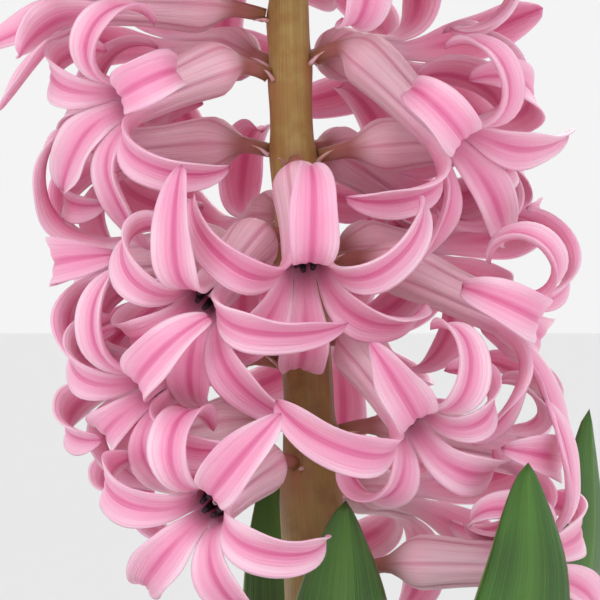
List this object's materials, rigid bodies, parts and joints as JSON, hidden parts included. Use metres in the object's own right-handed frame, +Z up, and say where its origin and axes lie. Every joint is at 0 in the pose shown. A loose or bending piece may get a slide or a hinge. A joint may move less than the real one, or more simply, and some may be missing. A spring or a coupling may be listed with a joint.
{
  "type": "potted hyacinth plant",
  "caption": "Hyacinth in bloom in a plain round clay pot: a bulb in soil, strap leaves and an upright stem with a dense spike of pink florets.",
  "frame": {"origin": "middle of the pot's flat base", "axes": "+Z up along the stem, -Y towards the front of the plant"},
  "size_m": [0.12, 0.12, 0.3643],
  "materials": {
    "clay": "matt fired clay",
    "soil": "loose dark potting soil",
    "bulb_skin": "papery purple-brown skins",
    "stem": "smooth olive brown",
    "leaf": "smooth waxy green",
    "petal": "waxy pink with a darker middle stripe",
    "bud": "waxy dusty pink"
  },
  "bodies": {
    "root": {"pot": "clay", "soil": "soil", "bulb": "bulb_skin", "stem": "stem", "leaf_front": "leaf", "leaf_back": "leaf", "leaf_right": "leaf", "leaf_back_right": "leaf", "leaf_back_left": "leaf", "leaf_left": "leaf", "bud_1": "bud", "bud_2": "bud", "bud_3": "bud", "bud_4": "bud", "floret_01": "petal", "floret_02": "petal", "floret_03": "petal", "floret_04": "petal", "floret_05": "petal", "floret_06": "petal", "floret_07": "petal", "floret_08": "petal", "floret_09": "petal", "floret_10": "petal", "floret_11": "petal", "floret_12": "petal", "floret_13": "petal", "floret_14": "petal", "floret_15": "petal", "floret_16": "petal", "floret_17": "petal", "floret_18": "petal", "floret_19": "petal", "floret_20": "petal", "floret_21": "petal", "floret_22": "petal", "floret_23": "petal", "floret_24": "petal", "floret_25": "petal", "floret_26": "petal", "floret_27": "petal", "floret_28": "petal", "floret_29": "petal", "floret_30": "petal", "floret_31": "petal", "floret_32": "petal", "floret_33": "petal", "floret_34": "petal", "floret_35": "petal", "floret_36": "petal", "floret_37": "petal"}
  },
  "joints": []
}
